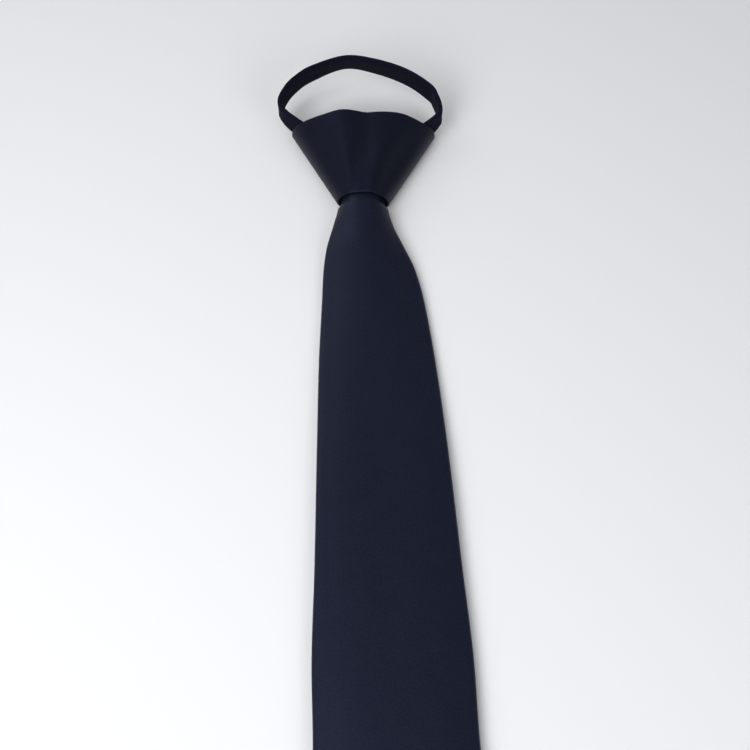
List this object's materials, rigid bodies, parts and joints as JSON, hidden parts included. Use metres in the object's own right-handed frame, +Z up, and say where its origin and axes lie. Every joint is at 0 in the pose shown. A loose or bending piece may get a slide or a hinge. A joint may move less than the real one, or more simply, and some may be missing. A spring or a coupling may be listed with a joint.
{
  "type": "zipper tie",
  "caption": "Pre-tied satin necktie lying face up, with a hollow knot, a folded front blade and a neck loop that a zip draws in.",
  "frame": {"origin": "on the table under the middle of the whole tie as it lies", "axes": "+Z up from the table, +Y along the tie from the blade's tip to the neck loop, +X to the right of a viewer who looks along +Y"},
  "size_m": [0.0748, 0.5123, 0.0252],
  "materials": {
    "blade_satin": "navy polyester satin, soft sheen",
    "knot_satin": "navy polyester satin, soft sheen",
    "band_satin": "navy polyester satin, soft sheen",
    "tail_satin": "navy polyester satin, soft sheen",
    "zip_nylon": "dark navy nylon coil"
  },
  "bodies": {
    "root": {"front_blade": "blade_satin", "knot": "knot_satin", "neck_band": "band_satin", "zip_tail": "tail_satin", "zipper": "zip_nylon"}
  },
  "joints": []
}
